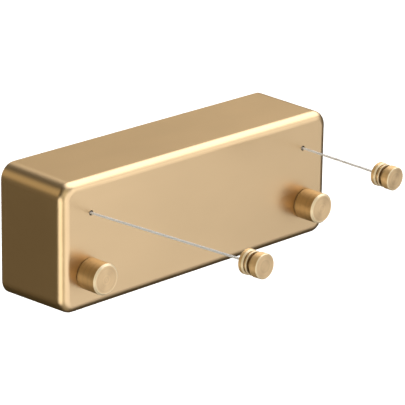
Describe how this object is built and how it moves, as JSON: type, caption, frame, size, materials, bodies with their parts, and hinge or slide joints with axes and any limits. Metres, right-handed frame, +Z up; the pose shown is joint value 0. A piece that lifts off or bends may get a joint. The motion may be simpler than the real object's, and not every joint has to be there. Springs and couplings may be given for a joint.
{
  "type": "retractable clothesline",
  "caption": "Wall-mounted double retractable clothesline: slim rounded metal casing, steel lines with turned end pieces, and a screw lock knob under each line.",
  "frame": {"origin": "centre of the back, on the wall plane", "axes": "+Z up, +X to the right seen from the room, -Y out of the wall into the room, the way the lines pull out"},
  "size_m": [0.175, 0.15, 0.064],
  "materials": {
    "gold_casing": "satin champagne-gold anodised, fine brushed and bead blasted",
    "gold_turned": "turned champagne-gold anodised, fine lathe marks",
    "line_steel": "stranded stainless steel line",
    "zinc_steel": "zinc-plated sheet",
    "bright_steel": "bright turned steel",
    "dark_steel": "black oxide",
    "blue_spring_steel": "blued strip",
    "white_nylon": "moulded, matt",
    "grey_nylon": "moulded, matt",
    "black_nylon": "moulded, matt",
    "bronze": "sintered bronze",
    "brass": "turned brass",
    "brake_rubber": "friction lining"
  },
  "bodies": {
    "base": {"housing": "gold_casing", "wall_plate": "zinc_steel", "chassis_plate": "zinc_steel", "chassis_screws": "bright_steel", "set_screws": "dark_steel", "left_reel_axle": "bright_steel", "left_thrust_washer": "bright_steel", "left_axle_clip": "dark_steel", "left_feed_line": "line_steel", "left_pulley_pin": "bright_steel", "left_guide_post": "zinc_steel", "left_line_eyelet": "black_nylon", "left_lock_bush": "brass", "left_knob_washer": "black_nylon", "right_reel_axle": "bright_steel", "right_thrust_washer": "bright_steel", "right_axle_clip": "dark_steel", "right_feed_line": "line_steel", "right_pulley_pin": "bright_steel", "right_guide_post": "zinc_steel", "right_line_eyelet": "black_nylon", "right_lock_bush": "brass", "right_knob_washer": "black_nylon"},
    "left_reel": {"left_spool": "white_nylon", "left_spring_cover": "grey_nylon", "left_clock_spring": "blue_spring_steel", "left_front_bush": "bronze", "left_rear_bush": "bronze", "left_wound_line": "line_steel"},
    "left_pulley": {"left_guide_pulley": "white_nylon"},
    "left_line_end": {"left_pulled_line": "line_steel", "left_end_collar": "gold_turned", "left_end_cap": "gold_turned", "left_end_ferrule": "brass"},
    "left_brake": {"left_brake_shoe": "zinc_steel", "left_brake_pad": "brake_rubber"},
    "left_lock": {"left_lock_knob": "gold_turned", "left_lock_stem": "bright_steel"},
    "right_reel": {"right_spool": "white_nylon", "right_spring_cover": "grey_nylon", "right_clock_spring": "blue_spring_steel", "right_front_bush": "bronze", "right_rear_bush": "bronze", "right_wound_line": "line_steel"},
    "right_pulley": {"right_guide_pulley": "white_nylon"},
    "right_line_end": {"right_pulled_line": "line_steel", "right_end_collar": "gold_turned", "right_end_cap": "gold_turned", "right_end_ferrule": "brass"},
    "right_brake": {"right_brake_shoe": "zinc_steel", "right_brake_pad": "brake_rubber"},
    "right_lock": {"right_lock_knob": "gold_turned", "right_lock_stem": "bright_steel"}
  },
  "joints": [
    {"name": "left_line_pull", "type": "slide", "parent": "base", "child": "left_line_end", "axis": [0, -0.9994, 0.034], "range_m": [-0.0972, 4.1025], "deforming": ["left_pulled_line"]},
    {"name": "left_reel_spin", "type": "hinge", "parent": "base", "child": "left_reel", "pos_m": [-0.049, -0.0265, 0], "axis": [0, 1, 0], "range_deg": [-266, 11168], "deforming": ["left_clock_spring"]},
    {"name": "left_pulley_spin", "type": "hinge", "parent": "base", "child": "left_pulley", "pos_m": [-0.07005, -0.0287, 0.012], "axis": [1, 0, 0], "continuous": true},
    {"name": "left_brake_press", "type": "slide", "parent": "base", "child": "left_brake", "axis": [0, -1, 0], "range_m": [0, 0.0006]},
    {"name": "left_knob_turn", "type": "hinge", "parent": "left_brake", "child": "left_lock", "pos_m": [-0.0718, -0.047, -0.0133], "axis": [0, -1, 0], "range_deg": [0, 270]},
    {"name": "right_line_pull", "type": "slide", "parent": "base", "child": "right_line_end", "axis": [0, -0.9998, -0.0192], "range_m": [-0.0484, 4.1513], "deforming": ["right_pulled_line"]},
    {"name": "right_reel_spin", "type": "hinge", "parent": "base", "child": "right_reel", "pos_m": [0.049, -0.0265, 0], "axis": [0, 1, 0], "range_deg": [-11301, 133], "deforming": ["right_clock_spring"]},
    {"name": "right_pulley_spin", "type": "hinge", "parent": "base", "child": "right_pulley", "pos_m": [0.07005, -0.0287, 0.012], "axis": [1, 0, 0], "continuous": true},
    {"name": "right_brake_press", "type": "slide", "parent": "base", "child": "right_brake", "axis": [0, -1, 0], "range_m": [0, 0.0006]},
    {"name": "right_knob_turn", "type": "hinge", "parent": "right_brake", "child": "right_lock", "pos_m": [0.0718, -0.047, -0.0133], "axis": [0, -1, 0], "range_deg": [0, 270]}
  ],
  "couplings": [
    {"joint": "left_reel_spin", "follows": "left_line_pull", "rad_per_m": 47.506},
    {"joint": "left_pulley_spin", "follows": "left_line_pull", "rad_per_m": 312.5},
    {"joint": "left_knob_turn", "follows": "left_brake_press", "rad_per_m": 7854},
    {"joint": "right_reel_spin", "follows": "right_line_pull", "rad_per_m": -47.506},
    {"joint": "right_pulley_spin", "follows": "right_line_pull", "rad_per_m": 312.5},
    {"joint": "right_knob_turn", "follows": "right_brake_press", "rad_per_m": 7854}
  ]
}
